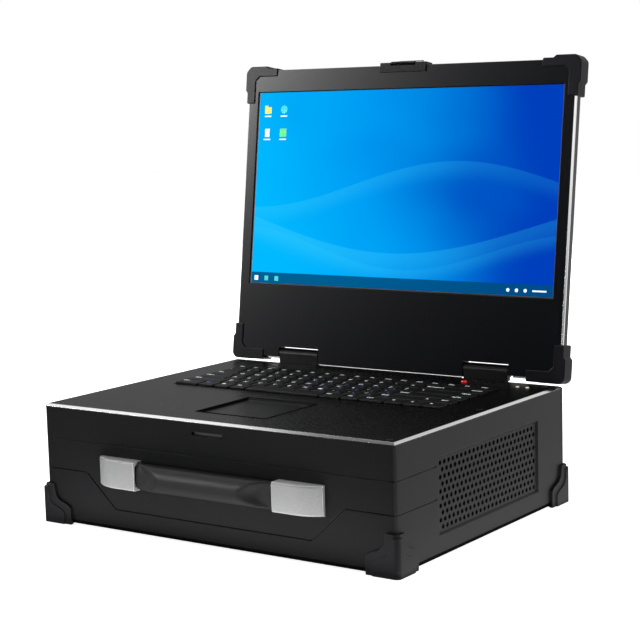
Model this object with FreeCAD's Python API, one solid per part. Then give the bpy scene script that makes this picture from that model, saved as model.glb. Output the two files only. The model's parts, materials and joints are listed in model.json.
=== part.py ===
import FreeCAD, Part
import math
import os

V = FreeCAD.Vector

# A rugged portable computer in laptop form. Bench frame: X right, Y back from the front panel's
# face, Z up from the floor. Lid pieces are drawn flat in (x, v, m): v runs up the lid from deck
# level, m points out of the screen. At the end everything moves so that the origin is below the
# middle of the whole object.

# Case
base_width = 410.0
base_depth = 315.0
deck_height = 119.0
panel_bottom = 5.4
panel_wall = 4.0
rear_wall = 3.0
deck_wall = 3.0
corner_size = 6.0
corner_round = 3.0
trim_width = 2.8
trim_chamfer = 2.1
pan_bottom = 1.4
pan_floor = 1.5
pan_inset = 1.5
pan_rim = 12.0
stand_radius = 3.0
stand_xs = (-92.0, 22.0, 136.0)
stand_ys = (68.0, 178.0, 288.0)
board_height = 14.0
half_width = base_width / 2
wall_top = deck_height - deck_wall

# Decorative grooves, heights below the deck
groove_width = 1.3
groove_depth = 0.8
groove_upper = 34.0
groove_lower = 64.0
groove_sunk = 97.0
groove_side_end = 68.0
groove_slant_outer = 152.0
groove_slant_inner = 116.0

# Side vents
vent_front = 71.0
vent_back = 260.0
vent_top = 26.0
vent_foot = 98.0
vent_bevel = 2.0
vent_rows = 10
vent_columns = 24
vent_pitch = 7.5
vent_row_pitch = 6.55
vent_hole_radius = 2.25

# Handle
cap_inner = 81.3
cap_outer = 131.3
cap_proud = 12.0
cap_skin = 2.0
handle_middle = deck_height - 59.0
cap_height = 28.0
cap_tip = 3.5
cap_flat_share = 0.45
cap_curve_share = 0.62
cap_curve_drop = 2.6
cap_edge_round = 2.2
cap_room = 1.5
strap_front = 7.0
strap_back = 5.0
strap_height = 18.0
strap_reach = 107.0
grip_reach = 80.5
grip_front = 18.0
grip_height = 26.0
grip_squareness = 0.6
grip_steps = 12
# Half-length, reach towards the hand and height of each section
grip_stations = [(grip_reach, 8.4, grip_height - 0.6), (72.0, 8.6, grip_height - 0.6),
                 (65.0, 11.5, grip_height - 0.4), (57.0, 15.0, grip_height - 0.2),
                 (40.0, 17.4, grip_height), (20.0, grip_front, grip_height)]

# Keyboard: six rows across seventeen key widths
key_pitch = 18.95
row_pitch = 19.4
key_gap = 2.2
key_left = -162.0
key_front = 148.0
key_top = 2.2
key_bottom = 0.8
key_taper = 0.7
key_columns = 17
well_margin = 1.0
plate_margin = 4.0
plate_foot = 5.0
row_layouts = {
    "key_row_bottom": [1.6, 1.08, 1.08, 1.08, -4.8, 1.35, 1.15, 1.5, 1.12, 1.12, 1.12],
    "key_row_shift": [2.4] + [1.0] * 10 + [2.6, 1.0, 1.0],
    "key_row_home": [1.9] + [1.0] * 11 + [3.1, 1.0],
    "key_row_letters": [1.6] + [1.0] * 12 + [2.4, 1.0],
    "key_row_numbers": [1.3] + [1.0] * 12 + [2.7, 1.0],
    "key_row_function": [1.0] * 17,
}

# Touchpad, power button and lamps on the deck
pad_half = 40.6
pad_front = 36.0
pad_back = 117.0
pad_bevel = 2.0
pad_play = 0.35
pad_top = 1.8
pad_foot = 3.4
pad_board_margin = 4.0
pad_board_top = 4.0
pad_board_foot = 6.5
button_place = (106.0, 288.0)
button_radius = 3.1
button_proud = 1.6
button_play = 0.35
button_foot = 4.8
button_round = 1.2
switch_half = 7.0
switch_top = 6.3
switch_foot = 18.0
lamp_places = [(168.7, 286.0), (179.7, 286.0)]
lamp_radius = 1.9
lamp_proud = 1.0
lamp_foot = 6.0
lamp_round = 0.9
deck_screw_places = [(-193.0, 11.0), (0.0, 11.0), (193.0, 11.0), (-194.0, 165.0), (194.0, 165.0),
                     (-191.0, 300.0), (191.0, 300.0)]
screw_head = 3.2
screw_seat = 3.4
screw_shank = 1.5
screw_socket = 1.4
screw_sunk = 0.2
screw_head_foot = 1.6
screw_socket_foot = 1.0
screw_foot = 9.0

# Lid
lid_lean = math.radians(7.88)
lid_foot_y = 308.1
lid_thick = 12.0
bezel_thick = 2.0
lid_bottom = 2.4
lid_back_foot = 1.0
lid_back_lip = 5.0
lid_top = 327.0
lid_wall = 3.0
screen_half = 191.1
screen_low = 87.0
screen_high = 302.0
lid_trim_width = 1.7
lid_trim_chamfer = 1.5
lid_trim_low = 30.0
lid_trim_high = 300.0
lid_trim_depth = 1.0
lid_back_wall = 2.0
lid_back_round = 2.5
window_bevel = 0.8
display_margin = 4.0
display_back = 8.0
display_board_half = 70.0
display_board_low = 34.0
display_board_high = 68.0
display_board_back = 7.6
display_board_front = 6.0
display_chip = 14.0
display_chip_front = 4.6
display_chip_xs = (-50.0, -10.0, 30.0)
display_post_xs = (-60.0, 60.0)
display_post_radius = 2.0

# Hinge: axis in the lid's own coordinates
hinge_v = 10.5
hinge_back = 6.5
hinge_inner = 92.5
hinge_outer = 144.5
hinge_barrel = 6.3
hinge_pin = 3.0
hinge_pin_gap = 0.05
notch_top = 17.7
leaf_notch_top = 6.5
notch_side_gap = 0.6
notch_front_gap = 1.2
hinge_leg = 26.0
hinge_solid_end = 12.0
hinge_pin_reach = 8.0
pin_hole_play = 0.4
leaf_start = 4.5
leaf_end = 29.5
leaf_room = 0.5
leaf_foot = 2.0
leaf_back = 9.4
leaf_front = 3.6
tongue_back = 9.8
tongue_front = 7.8
tongue_top = screen_low - 12.0

# Lid latch
latch_half = 29.0
latch_foot = 320.0
latch_top = 330.0
latch_face = 1.5
hook_half = 15.0
hook_v = 329.3
hook_thick = 3.8
hook_length = 16.7
hook_lip = 2.0
hook_lip_rise = 2.7
hook_pin = 1.2
hook_pin_play = 0.05
hook_side_gap = 0.4
latch_pin_inset = 4.0
latch_back = 11.0
latch_round = 0.8
latch_lap = 0.2
slot_half = 18.0
slot_top = 10.85
slot_foot = 14.55

# Rubber corners
foot_arm = 34.0
foot_neck = 13.0
foot_tall = 39.0
foot_shoulder = 20.0
foot_proud = 4.6
foot_step = 3.0
foot_rise = 6.0
foot_edge_round = 5.0
foot_inset = 6.0
foot_raised_neck = 7.5
foot_raised_drop = 3.0
sole_reach = 28.0
bumper_back = 15.5
bumper_front = 1.2
bumper_proud = 4.4
bumper_thin = 2.0
bumper_round = 6.0
bumper_foot_round = 3.8
bumper_corner_soft = 6.0
bumper_foot_proud = 0.6
bumper_foot_thin = 0.3
bumper_arm = 39.0
bumper_rise_top = 37.0
bumper_rise_foot = 38.8
bumper_leg_top = 7.0
bumper_leg_foot = 11.6
bumper_side = 9.0
foot_play = 0.5

# Cooling fans behind the vents
fan_size = 60.0
fan_thick = 15.0
fan_bore = 28.0
fan_tip = 26.5
fan_hub = 10.0
fan_blades = 7
fan_y = 165.0
fan_z = deck_height - 62.0
fan_back = 3.0
fan_arm = 1.5
fan_shaft = 1.5
fan_shaft_play = 0.05
fan_gap = 1.0
fan_front_gap = 1.5
fan_blade_half = 6.5
fan_blade_thick = 0.7
fan_blade_turn = 32.0

# Rear sockets: x range then height range of each port
inlet_x = -150.0
inlet_z = 34.0
inlet_half = (14.0, 10.0)
inlet_flange = (20.0, 13.0)
inlet_well = (11.5, 7.5)
inlet_depth = 18.0
inlet_well_depth = 15.0
inlet_lip = 2.0
blade_half = (1.0, 2.0)
blade_tip = 4.0
blade_places = [(-7.0, -1.5), (0.0, 2.5), (7.0, -1.5)]
ports = [(-46, -32, 32, 45), (-46, -32, 52, 65), (-24, -8, 36, 50), (0, 16, 32, 48), (0, 16, 52, 66),
         (24, 38, 32, 45), (24, 38, 52, 65), (46, 78, 34, 46), (46, 78, 54, 66), (86, 100, 34, 64)]
cover_lap = 1.5
cover_thick = 1.6
cover_round = 1.2
expansion_xs = [126.0, 146.3, 166.6, 186.9]
expansion_half = 6.0
expansion_low = 18.0
expansion_high = 98.0
expansion_thick = 1.2
exhaust_rows = 6
exhaust_pitch = 9.0
exhaust_row_pitch = 8.0
exhaust_radius = 2.6
exhaust_low = 62.0
rear_screws = [(-191.0, 50.0), (193.0, 50.0), (-191.0, 106.0), (193.0, 106.0), (0.0, 14.0), (0.0, 106.0)]
rear_screw_proud = 1.8
rear_screw_round = 1.0
rear_screw_socket = 1.2
rear_socket_depth = 1.0

# Works: x range then y range of each piece inside the case
board_span = (-100.0, 144.0, 60.0, 296.0)
board_thick = 1.6
sink_span = (-10.0, 80.0, 150.0, 240.0)
sink_base = 8.0
sink_tall = 40.0
fin_thick = 2.0
fin_pitch = 6.0
fin_count = 15
module_xs = (-80.0, -70.0)
module_thick = 4.0
module_ys = (110.0, 243.0)
module_tall = 32.0
supply_span = (-184.0, -104.0, 150.0, 290.0)
supply_tall = 68.0
drive_span = (-190.0, -120.0, 20.0, 120.0)
drive_tall = 7.0
join_lap = 0.2

shapes = {}


def block(x0, x1, y0, y1, z0, z1):
    return Part.makeBox(x1 - x0, y1 - y0, z1 - z0, V(x0, y0, z0))


def rod(radius, start, end):
    start = V(*start)
    along = V(*end) - start
    return Part.makeCylinder(radius, along.Length, start, along)


def outline(points):
    corners = [V(*p) for p in points]
    return Part.makePolygon(corners + corners[:1])


def prism(points, direction):
    return Part.Face(outline(points)).extrude(V(*direction))


def bevelled(lower, upper):
    return Part.makeLoft([outline(lower), outline(upper)], True, True)


def rectangle_z(x0, x1, y0, y1, z):
    return [(x0, y0, z), (x1, y0, z), (x1, y1, z), (x0, y1, z)]


def mirror_x(shape):
    return shape.mirror(V(0, 0, 0), V(1, 0, 0))


def mirror_y(shape):
    return shape.mirror(V(0, base_depth / 2, 0), V(0, 1, 0))


def rounded(shape, radius, chosen):
    return shape.makeFillet(radius, [e for e in shape.Edges if chosen(e)])


def runs_along(edge, axis):
    if not isinstance(edge.Curve, Part.Line):
        return False
    return abs(edge.tangentAt(edge.FirstParameter).dot(V(*axis))) > 0.999


def at_place(edge, x=None, y=None, z=None, near=0.01):
    box = edge.BoundBox
    wanted = [(x, box.XMin, box.XMax), (y, box.YMin, box.YMax), (z, box.ZMin, box.ZMax)]
    return all(w is None or (abs(lo - w) < near and abs(hi - w) < near) for w, lo, hi in wanted)


def both_sides(name, right_shape):
    shapes[name + "_right"] = right_shape
    shapes[name + "_left"] = mirror_x(right_shape)


# Case walls

def front_groove(start, end):
    run = V(end[0] - start[0], 0, end[1] - start[1])
    side = V(-run.z, 0, run.x).normalize() * (groove_width / 2)
    a = V(start[0], 0, start[1])
    b = V(end[0], 0, end[1])
    face = Part.Face(Part.makePolygon([a + side, b + side, b - side, a - side, a + side]))
    return face.extrude(V(0, groove_depth, 0))


def front_grooves():
    upper = deck_height - groove_upper
    lower = deck_height - groove_lower
    sunk = deck_height - groove_sunk
    cuts = [front_groove((-half_width, upper), (half_width, upper)),
            front_groove((-groove_slant_inner, sunk), (groove_slant_inner, sunk))]
    for side in (-1, 1):
        cuts.append(front_groove((side * half_width, lower), (side * groove_slant_outer, lower)))
        cuts.append(front_groove((side * groove_slant_outer, lower), (side * groove_slant_inner, sunk)))
    return cuts


def side_grooves():
    cuts = []
    for drop in (groove_upper, groove_lower):
        z = deck_height - drop
        cuts.append(block(half_width - groove_depth, half_width, 0, groove_side_end,
                          z - groove_width / 2, z + groove_width / 2))
    return cuts + [mirror_x(c) for c in cuts]


def make_walls():
    inner = half_width - corner_size
    front = block(-inner, inner, 0, panel_wall, panel_bottom, wall_top)
    slot = block(-slot_half, slot_half, 0, panel_wall, deck_height - slot_foot, deck_height - slot_top)
    shapes["front_panel"] = front.cut(front_grooves() + [slot])

    side = block(half_width - panel_wall, half_width, corner_size, base_depth - corner_size,
                 panel_bottom, wall_top)
    low = deck_height - vent_foot
    high = deck_height - vent_top

    def vent_rectangle(x, inset):
        y0 = vent_front + inset
        y1 = vent_back - inset
        return [(x, y0, low + inset), (x, y1, low + inset), (x, y1, high - inset), (x, y0, high - inset)]

    mouth = bevelled(vent_rectangle(half_width - vent_bevel, vent_bevel), vent_rectangle(half_width, 0))
    throat = prism(vent_rectangle(half_width - panel_wall, vent_bevel), (panel_wall - vent_bevel, 0, 0))
    side = side.cut([mouth, throat] + side_grooves())
    both_sides("side_panel", side)

    holes = []
    span = (vent_columns - 0.5) * vent_pitch
    first_y = (vent_front + vent_back - span) / 2
    first_z = (low + high + (vent_rows - 1) * vent_row_pitch) / 2
    for row in range(vent_rows):
        for column in range(vent_columns):
            y = first_y + (column + 0.5 * (row % 2)) * vent_pitch
            z = first_z - row * vent_row_pitch
            centre = V(half_width - panel_wall, y, z)
            holes.append(Part.Wire(Part.makeCircle(vent_hole_radius, centre, V(1, 0, 0))))
    border = outline(vent_rectangle(half_width - panel_wall, vent_bevel))
    sheet = Part.makeFace([border] + holes, "Part::FaceMakerBullseye")
    both_sides("vent_grille", sheet.extrude(V(panel_wall - vent_bevel, 0, 0)))


def make_corner_posts():
    post = block(half_width - corner_size, half_width, 0, corner_size, panel_bottom, wall_top)
    post = rounded(post, corner_round, lambda e: at_place(e, x=half_width, y=0))
    front_right = post.cut(front_grooves() + side_grooves())
    tall = block(half_width - corner_size, half_width, 0, corner_size, panel_bottom, deck_height)
    tall = rounded(tall, corner_round, lambda e: at_place(e, x=half_width, y=0))
    rear_right = mirror_y(tall).cut(foot_relief())
    shapes["corner_posts"] = Part.makeCompound(
        [front_right, mirror_x(front_right), rear_right, mirror_x(rear_right)])


def make_bottom_pan():
    edge = half_width - pan_inset
    floor = pan_bottom + pan_floor
    pan = block(-edge, edge, pan_inset, base_depth - pan_inset, pan_bottom, panel_bottom)
    hollow = block(-edge + pan_rim, edge - pan_rim, pan_inset + pan_rim, base_depth - pan_inset - pan_rim,
                   floor, panel_bottom)
    stands = [rod(stand_radius, (x, y, floor - join_lap), (x, y, board_height))
              for x in stand_xs for y in stand_ys]
    shapes["bottom_pan"] = pan.cut(hollow).fuse(stands)


# Deck

def foot_relief():
    # Shallow scoop along the deck's rear edge that the foot of the lid turns through
    y, z = hinge_axis()
    reach = math.hypot(hinge_v - lid_bottom + bumper_foot_proud, hinge_back + bumper_front)
    return rod(reach + foot_play, (-half_width, y, z), (half_width, y, z))


def hinge_span(side):
    return sorted((side * (hinge_inner - notch_side_gap), side * (hinge_outer + notch_side_gap)))


def below_deck(radius, place, foot, top=0.0):
    x, y = place
    return rod(radius, (x, y, deck_height - foot), (x, y, deck_height - top))


def deck_screw(place):
    head = below_deck(screw_head, place, screw_head_foot, screw_sunk)
    socket = below_deck(screw_socket, place, screw_socket_foot, screw_sunk)
    shank = below_deck(screw_shank, place, screw_foot, screw_head_foot)
    return head.fuse(shank).cut(socket).removeSplitter()


def make_deck():
    edge = half_width - trim_width
    back = base_depth - corner_size
    under = deck_height - deck_wall
    deck = block(-edge, edge, trim_width, back, under, deck_height)
    tail = half_width - corner_size
    deck = deck.fuse(block(-tail, tail, back, base_depth, under, deck_height))
    key_right = key_left + key_columns * key_pitch
    key_back = key_front + len(row_layouts) * row_pitch
    cuts = [block(key_left - well_margin, key_right + well_margin, key_front - well_margin,
                  key_back + well_margin, under, deck_height)]
    top = rectangle_z(-pad_half, pad_half, pad_front, pad_back, deck_height)
    inner = pad_half - pad_bevel
    step = rectangle_z(-inner, inner, pad_front + pad_bevel, pad_back - pad_bevel, deck_height - pad_bevel)
    cuts.append(bevelled(step, top))
    cuts.append(block(-inner, inner, pad_front + pad_bevel, pad_back - pad_bevel,
                      under, deck_height - pad_bevel))
    for side in (-1, 1):
        x0, x1 = hinge_span(side)
        cuts.append(block(x0, x1, lid_foot_y + notch_front_gap, base_depth, under, deck_height))
    cuts.append(foot_relief())
    cuts.append(below_deck(button_radius + button_play, button_place, deck_wall))
    cuts += [below_deck(lamp_radius, place, deck_wall) for place in lamp_places]
    cuts += [below_deck(screw_seat, place, screw_head_foot) for place in deck_screw_places]
    cuts += [below_deck(screw_shank, place, deck_wall) for place in deck_screw_places]
    shapes["deck_plate"] = deck.cut(cuts).removeSplitter()

    c = trim_chamfer
    lower = rectangle_z(-half_width, half_width, 0, base_depth, deck_height - c)
    upper = rectangle_z(-half_width + c, half_width - c, c, base_depth + c, deck_height)
    band = block(-half_width, half_width, 0, base_depth, wall_top, deck_height - c)
    wedge = bevelled(lower, upper).fuse(band).removeSplitter()
    inside = block(-edge, edge, trim_width, base_depth + c, wall_top, deck_height)
    behind = block(-half_width, half_width, back, base_depth + c, wall_top, deck_height)
    shapes["deck_trim"] = wedge.cut([inside, behind])

    reach = inner - pad_play
    inset = pad_bevel + pad_play
    shapes["touchpad"] = block(-reach, reach, pad_front + inset, pad_back - inset,
                               deck_height - pad_foot, deck_height - pad_top)
    m = pad_board_margin
    shapes["touchpad_board"] = block(-pad_half - m, pad_half + m, pad_front - m, pad_back + m,
                                     deck_height - pad_board_foot, deck_height - pad_board_top)
    m = plate_margin
    shapes["keyboard_plate"] = block(key_left - m, key_right + m, key_front - m, key_back + m,
                                     deck_height - plate_foot, under)


def make_button_and_lamps():
    x, y = button_place
    shapes["power_switch"] = block(x - switch_half, x + switch_half, y - switch_half, y + switch_half,
                                   deck_height - switch_foot, deck_height - switch_top)
    button = below_deck(button_radius, button_place, button_foot, -button_proud)
    shapes["power_button"] = rounded(button, button_round, lambda e: at_place(e, z=deck_height + button_proud))
    lamps = []
    for place in lamp_places:
        lamp = below_deck(lamp_radius, place, lamp_foot, -lamp_proud)
        lamps.append(rounded(lamp, lamp_round, lambda e: at_place(e, z=deck_height + lamp_proud)))
    shapes["indicator_lamps"] = Part.makeCompound(lamps)


def key_cap(x0, x1, y0, y1):
    t = key_taper
    foot = rectangle_z(x0, x1, y0, y1, deck_height - key_bottom)
    shoulder = rectangle_z(x0, x1, y0, y1, deck_height + key_top - t)
    crown = rectangle_z(x0 + t, x1 - t, y0 + t, y1 - t, deck_height + key_top)
    return Part.makeLoft([outline(foot), outline(shoulder), outline(crown)], True, True)


def make_keys():
    for row, (name, widths) in enumerate(row_layouts.items()):
        caps = []
        x = key_left
        y = key_front + row * row_pitch
        for units in widths:
            width = abs(units) * key_pitch
            half = key_gap / 2
            cap = key_cap(x + half, x + width - half, y + half, y + row_pitch - half)
            if units < 0:
                shapes["space_bar"] = cap
            else:
                caps.append(cap)
            x += width
        shapes[name] = Part.makeCompound(caps)


# Carrying handle

def make_handle_caps():
    low = handle_middle - cap_height / 2
    bend = cap_inner + cap_flat_share * (cap_outer - cap_inner)
    start = V(cap_inner, 0, low)
    front = V(cap_inner, -cap_proud, low)
    turn = V(bend, -cap_proud, low)
    tip = V(cap_outer, -cap_tip, low)
    end = V(cap_outer, 0, low)
    middle = V(bend + cap_curve_share * (cap_outer - bend), -cap_proud + cap_curve_drop, low)
    edges = [Part.LineSegment(start, front), Part.LineSegment(front, turn), Part.Arc(turn, middle, tip),
             Part.LineSegment(tip, end), Part.LineSegment(end, start)]
    cap = Part.Face(Part.Wire([e.toShape() for e in edges])).extrude(V(0, 0, cap_height))
    cap = rounded(cap, cap_edge_round, lambda e: (at_place(e, z=low) or at_place(e, z=low + cap_height))
                  and e.BoundBox.YMax < -0.1 and e.BoundBox.XLength > 1)
    half = strap_height / 2 + cap_room
    inside = block(cap_inner, strap_reach + 2, -cap_proud + cap_skin, 0,
                   handle_middle - half, handle_middle + half)
    both_sides("handle_cap", cap.cut(inside))


def grip_section(x, front_reach, height):
    # Flat towards the case, rounded towards the hand
    ring = []
    for i in range(grip_steps + 1):
        angle = math.pi * i / grip_steps
        across = math.copysign(abs(math.cos(angle)) ** grip_squareness, math.cos(angle))
        out = math.sin(angle) ** grip_squareness
        ring.append((x, -strap_back - out * (front_reach - strap_back), handle_middle + across * height / 2))
    return outline(ring)


def make_grip():
    shapes["handle_strap"] = block(-strap_reach, strap_reach, -strap_front, -strap_back,
                                   handle_middle - strap_height / 2, handle_middle + strap_height / 2)
    stations = [(-x, d, h) for x, d, h in grip_stations] + grip_stations[::-1]
    grip = Part.makeLoft([grip_section(*s) for s in stations], True, True)
    shapes["handle_grip"] = grip.cut(shapes["handle_strap"])


# Rubber feet

def foot_slab(arm, neck, tall, shoulder, proud):
    crook = shoulder + foot_rise
    points = [(0, 0), (arm, 0), (arm, shoulder - 3), (arm - 4, shoulder), (neck + 6, crook - 2),
              (neck + 1.5, crook + 3), (neck, tall), (0, tall)]
    face = [(half_width + proud - s, -proud, z) for s, z in points]
    front = prism(face, (0, proud + 1, 0))
    face = [(half_width + proud, s - proud, z) for s, z in points]
    side = prism(face, (-proud - 1, 0, 0))
    slab = front.fuse(side).removeSplitter()
    return rounded(slab, foot_edge_round, lambda e: at_place(e, x=half_width + proud, y=-proud))


def make_feet():
    wide = foot_slab(foot_arm, foot_neck, foot_tall, foot_shoulder, foot_step)
    raised = foot_slab(foot_arm - foot_inset, foot_raised_neck, foot_tall - foot_raised_drop,
                       foot_shoulder - foot_inset + 1, foot_proud)
    sole = block(half_width - sole_reach, half_width, 0, sole_reach, 0, pan_bottom)
    case = block(-half_width, half_width, 0, base_depth, pan_bottom, deck_height)
    foot = wide.fuse([raised, sole]).cut(case).removeSplitter()
    shapes["foot_front_right"] = foot
    shapes["foot_front_left"] = mirror_x(foot)
    shapes["foot_rear_right"] = mirror_y(foot)
    shapes["foot_rear_left"] = mirror_x(mirror_y(foot))


# Lid, drawn flat and then stood up

def lid_place(shape):
    turned = shape.copy()
    turned.rotate(V(0, 0, 0), V(1, 0, 0), 90 - math.degrees(lid_lean))
    turned.translate(V(0, lid_foot_y, deck_height))
    return turned


def hinge_axis():
    y = lid_foot_y + hinge_v * math.sin(lid_lean) + hinge_back * math.cos(lid_lean)
    z = deck_height + hinge_v * math.cos(lid_lean) - hinge_back * math.sin(lid_lean)
    return y, z


def hinge_notches(low, high):
    # Room for the hinge block, and a low gap beside it that shows the steel leaf
    notch = block(*hinge_span(1), 0, notch_top, low, high)
    gap = block(hinge_outer, half_width - bumper_arm, 0, leaf_notch_top, low, high)
    return [notch, gap, mirror_x(notch), mirror_x(gap)]


def make_back_shell():
    shell = block(-half_width, half_width, lid_bottom, lid_top, -lid_thick, -bezel_thick)
    shell = rounded(shell, lid_back_round, lambda e: at_place(e, z=-lid_thick))
    lip_end = half_width - bumper_arm
    lip = block(-lip_end, lip_end, lid_back_foot, lid_bottom + lid_back_round,
                -lid_thick + lid_back_round, -lid_thick + lid_back_round + lid_back_lip)
    shell = shell.fuse(lip).removeSplitter()
    inside = -lid_thick + lid_back_wall
    crook = notch_top + lid_wall
    hollow = block(-half_width + lid_wall, half_width - lid_wall, crook, lid_top - lid_wall,
                   inside, -bezel_thick)
    leaf_pocket = block(hinge_outer + leaf_start - leaf_room, hinge_outer + leaf_end + leaf_room,
                        lid_bottom + leaf_foot - leaf_room, crook, inside, -bezel_thick)
    pin_hole = rod(hinge_pin + pin_hole_play, (hinge_outer, hinge_v, -hinge_back),
                   (hinge_outer + leaf_start + 1, hinge_v, -hinge_back))
    rail_seat = block(half_width - lid_trim_width, half_width, lid_trim_low, lid_trim_high,
                      -bezel_thick - lid_trim_depth, -bezel_thick)
    cuts = [leaf_pocket, pin_hole, rail_seat]
    cuts += [mirror_x(c) for c in cuts] + hinge_notches(-lid_thick, -bezel_thick)
    shapes["lid_back_shell"] = shell.cut([hollow] + cuts)


def make_bezel():
    edge = half_width - lid_trim_width
    bezel = block(-edge, edge, lid_bottom, lid_top, -bezel_thick, 0)
    for low, high in ((lid_bottom, lid_trim_low), (lid_trim_high, lid_top)):
        bezel = bezel.fuse(block(-half_width, half_width, low, high, -bezel_thick, 0))
    b = window_bevel
    window = bevelled(rectangle_z(-screen_half, screen_half, screen_low, screen_high, -bezel_thick),
                      rectangle_z(-screen_half - b, screen_half + b, screen_low - b, screen_high + b, 0))
    shapes["lid_bezel"] = bezel.cut([window] + hinge_notches(-bezel_thick, 0)).removeSplitter()
    rail = block(edge, half_width, lid_trim_low, lid_trim_high, -bezel_thick - lid_trim_depth, 0)
    rail = rail.makeChamfer(lid_trim_chamfer, [e for e in rail.Edges if at_place(e, x=half_width, z=0)])
    shapes["lid_side_trim"] = Part.makeCompound([rail, mirror_x(rail)])


def make_display():
    m = display_margin
    shapes["display_panel"] = block(-screen_half - m, screen_half + m, screen_low - m - 1, screen_high + m,
                                    -display_back, -bezel_thick)
    middle = (display_board_low + display_board_high) / 2
    board = block(-display_board_half, display_board_half, display_board_low, display_board_high,
                  -display_board_back, -display_board_front)
    chips = [block(x, x + display_chip, middle - display_chip / 2, middle + display_chip / 2,
                   -display_board_front, -display_chip_front) for x in display_chip_xs]
    posts = [rod(display_post_radius, (x, middle, -lid_thick + lid_back_wall), (x, middle, -display_board_back))
             for x in display_post_xs]
    shapes["display_board"] = board.fuse(chips + posts)


def lid_bumper(at_top):
    # Corner cap at the lid's right edge; a runs out past the side, b out past the top or foot
    proud_b = bumper_proud + 0.2 if at_top else bumper_foot_proud
    thin_b = bumper_thin if at_top else bumper_foot_thin
    leg = bumper_leg_top if at_top else bumper_leg_foot
    rise = bumper_rise_top if at_top else bumper_rise_foot
    p = bumper_proud
    r = min(bumper_round, proud_b + bumper_foot_round)
    points = [(-bumper_arm, thin_b), (12 - bumper_arm, thin_b), (15 - bumper_arm, proud_b), (p - r, proud_b),
              (p, proud_b - r), (p, 15 - rise), (bumper_thin, 12 - rise), (bumper_thin, -rise),
              (-bumper_side, -rise), (-bumper_side, -leg - 5), (-bumper_side - 5, -leg), (-bumper_arm, -leg)]
    end_v, sign = (lid_top, 1) if at_top else (lid_bottom, -1)
    flat = [(half_width + a, end_v + sign * b, -bumper_back) for a, b in points]
    body = prism(flat, (0, 0, bumper_back + bumper_front))

    def at_corner(e, chosen):
        return any(at_place(e, x=flat[i][0], y=flat[i][1]) for i in chosen)

    body = rounded(body, 1.5, lambda e: at_corner(e, (0, 7, 8, 11)))
    body = rounded(body, bumper_corner_soft, lambda e: at_corner(e, (3, 4)))
    body = rounded(body, 0.9, lambda e: at_place(e, z=bumper_front))
    lid_body = block(-half_width, half_width, lid_bottom, lid_top, -lid_thick, 0)
    return body.cut(lid_body)


def make_lid_bumpers():
    both_sides("lid_bumper_top", lid_bumper(True))
    both_sides("lid_bumper_foot", lid_bumper(False))


def make_hinges():
    y, z = hinge_axis()
    x0 = hinge_inner
    x1 = hinge_outer
    barrel = rod(hinge_barrel, (x0, y, z), (x1, y, z))
    web = block(x0, x1, y - hinge_barrel, y, deck_height, z)
    leg = block(x0, x1, y - hinge_barrel, base_depth - rear_wall, deck_height - hinge_leg, deck_height)
    pin_end = x0 + hinge_solid_end
    bore = rod(hinge_pin + hinge_pin_gap, (pin_end - 1, y, z), (x1, y, z))
    both_sides("hinge_block", barrel.fuse([web, leg]).removeSplitter().cut(bore))

    crook = notch_top + lid_wall
    pin = rod(hinge_pin, (pin_end, hinge_v, -hinge_back), (x1 + hinge_pin_reach, hinge_v, -hinge_back))
    leaf = block(x1 + leaf_start, x1 + leaf_end, lid_bottom + leaf_foot, crook, -leaf_back, -leaf_front)
    tongue = block(x1 + leaf_start, x1 + leaf_end, crook, tongue_top, -tongue_back, -tongue_front)
    both_sides("hinge_leaf", leaf.fuse([pin, tongue]).removeSplitter())


def make_latch():
    housing = block(-latch_half, latch_half, latch_foot, lid_top - latch_lap, 0, latch_face)
    for side in (-1, 1):
        x0, x1 = sorted((side * (hook_half + hook_side_gap), side * latch_half))
        cheek = block(x0, x1, lid_top, latch_top, -latch_back, latch_face)
        neck = block(x0, x1, lid_top - latch_lap, lid_top, 0, latch_face)
        housing = housing.fuse([cheek, neck])
    housing = housing.removeSplitter()
    housing = rounded(housing, latch_round, lambda e: runs_along(e, (0, 1, 0)) and at_place(e, z=latch_face)
                      and abs(abs(e.BoundBox.XMin) - latch_half) < 0.01)
    pin_end = latch_half - latch_pin_inset
    pin = rod(hook_pin, (-pin_end, hook_v, 0), (pin_end, hook_v, 0))
    shapes["latch_housing"] = housing.cut(pin)
    shapes["latch_pin"] = pin

    half = hook_thick / 2
    lever = block(-hook_half, hook_half, hook_v - half, hook_v + half, -hook_length, 0)
    nose = rod(half, (-hook_half, hook_v, 0), (hook_half, hook_v, 0))
    lip = block(-hook_half, hook_half, hook_v + half, hook_v + half + hook_lip_rise,
                -hook_length, -hook_length + hook_lip)
    bore = rod(hook_pin + hook_pin_play, (-hook_half, hook_v, 0), (hook_half, hook_v, 0))
    shapes["latch_hook"] = lever.fuse([nose, lip]).removeSplitter().cut(bore)


# Rear panel and its sockets

def around_inlet(half, y0, y1, at=(0.0, 0.0)):
    x = inlet_x + at[0]
    z = inlet_z + at[1]
    return block(x - half[0], x + half[0], y0, y1, z - half[1], z + half[1])


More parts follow.
